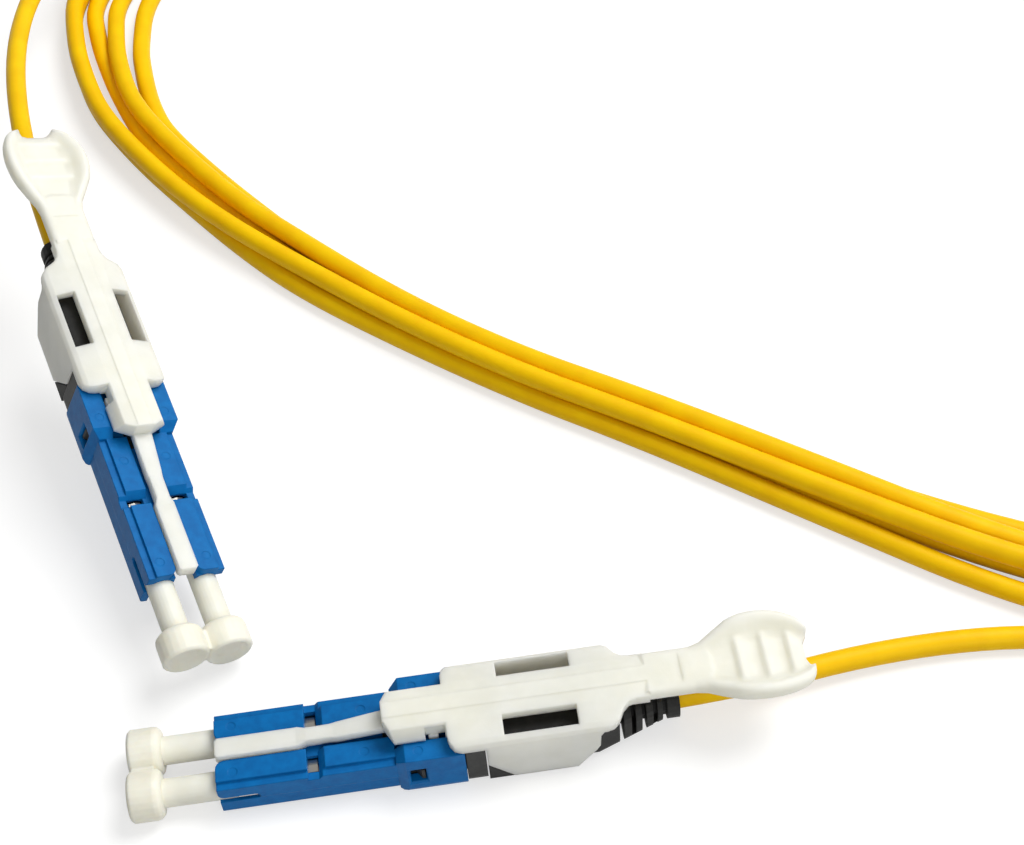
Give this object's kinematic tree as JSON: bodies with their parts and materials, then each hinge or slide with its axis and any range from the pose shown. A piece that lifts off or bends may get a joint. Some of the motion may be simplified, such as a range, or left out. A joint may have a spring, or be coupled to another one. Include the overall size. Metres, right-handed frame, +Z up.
{
  "type": "duplex fibre patch cord",
  "caption": "Yellow duplex fibre patch cord lying in a loose coil, with slim blue push-pull plugs, white pull tabs, black boots and white duplex dust caps.",
  "frame": {"origin": "middle of the two plugs' common box, on the floor they lie on; the cord is not counted", "axes": "+Z up; the first plug lies along X with its mating face towards -X; the cord's coil lies towards +X and +Y"},
  "size_m": [0.1233, 0.1267, 0.0194],
  "materials": {
    "cap_white": "satin",
    "housing_blue": "satin",
    "ceramic": "polished",
    "nickel": "satin",
    "spring_steel": "drawn",
    "body_black": "fine texture",
    "boot_black": "matte",
    "tab_white": "satin",
    "jacket_yellow": "satin"
  },
  "bodies": {
    "cord_assembly": {"cord_lead_a": "jacket_yellow", "cord_lead_b": "jacket_yellow", "cord_coil": "jacket_yellow", "front_housing_a": "housing_blue", "back_body_a": "body_black", "crimp_sleeve_a": "nickel", "strain_relief_boot_a": "boot_black", "spring_left_a": "spring_steel", "spring_right_a": "spring_steel", "front_housing_b": "housing_blue", "back_body_b": "body_black", "crimp_sleeve_b": "nickel", "strain_relief_boot_b": "boot_black", "spring_left_b": "spring_steel", "spring_right_b": "spring_steel"},
    "tab_a": {"pull_tab_a": "tab_white"},
    "cap_a": {"dust_cap_a": "cap_white"},
    "ferrule_left_a_set": {"ferrule_left_a": "ceramic", "ferrule_flange_left_a": "nickel"},
    "ferrule_right_a_set": {"ferrule_right_a": "ceramic", "ferrule_flange_right_a": "nickel"},
    "tab_b": {"pull_tab_b": "tab_white"},
    "cap_b": {"dust_cap_b": "cap_white"},
    "ferrule_left_b_set": {"ferrule_left_b": "ceramic", "ferrule_flange_left_b": "nickel"},
    "ferrule_right_b_set": {"ferrule_right_b": "ceramic", "ferrule_flange_right_b": "nickel"}
  },
  "joints": [
    {"name": "tab_slide_a", "type": "slide", "parent": "cord_assembly", "child": "tab_a", "axis": [1, 0, 0], "range_m": [0, 0.0015]},
    {"name": "cap_pull_off_a", "type": "slide", "parent": "cord_assembly", "child": "cap_a", "axis": [-1, 0, 0], "range_m": [0, 0.0024]},
    {"name": "ferrule_float_left_a", "type": "slide", "parent": "cord_assembly", "child": "ferrule_left_a_set", "axis": [1, 0, 0], "range_m": [0, 0.0006], "stiffness_N_per_m": 1500, "deforming": ["spring_left_a"]},
    {"name": "ferrule_float_right_a", "type": "slide", "parent": "cord_assembly", "child": "ferrule_right_a_set", "axis": [1, 0, 0], "range_m": [0, 0.0006], "stiffness_N_per_m": 1500, "deforming": ["spring_right_a"]},
    {"name": "tab_slide_b", "type": "slide", "parent": "cord_assembly", "child": "tab_b", "axis": [-0.2641, 0.9449, 0.1932], "range_m": [0, 0.0015]},
    {"name": "cap_pull_off_b", "type": "slide", "parent": "cord_assembly", "child": "cap_b", "axis": [0.2641, -0.9449, -0.1932], "range_m": [0, 0.0024]},
    {"name": "ferrule_float_left_b", "type": "slide", "parent": "cord_assembly", "child": "ferrule_left_b_set", "axis": [-0.2641, 0.9449, 0.1932], "range_m": [0, 0.0006], "stiffness_N_per_m": 1500, "deforming": ["spring_left_b"]},
    {"name": "ferrule_float_right_b", "type": "slide", "parent": "cord_assembly", "child": "ferrule_right_b_set", "axis": [-0.2641, 0.9449, 0.1932], "range_m": [0, 0.0006], "stiffness_N_per_m": 1500, "deforming": ["spring_right_b"]}
  ]
}
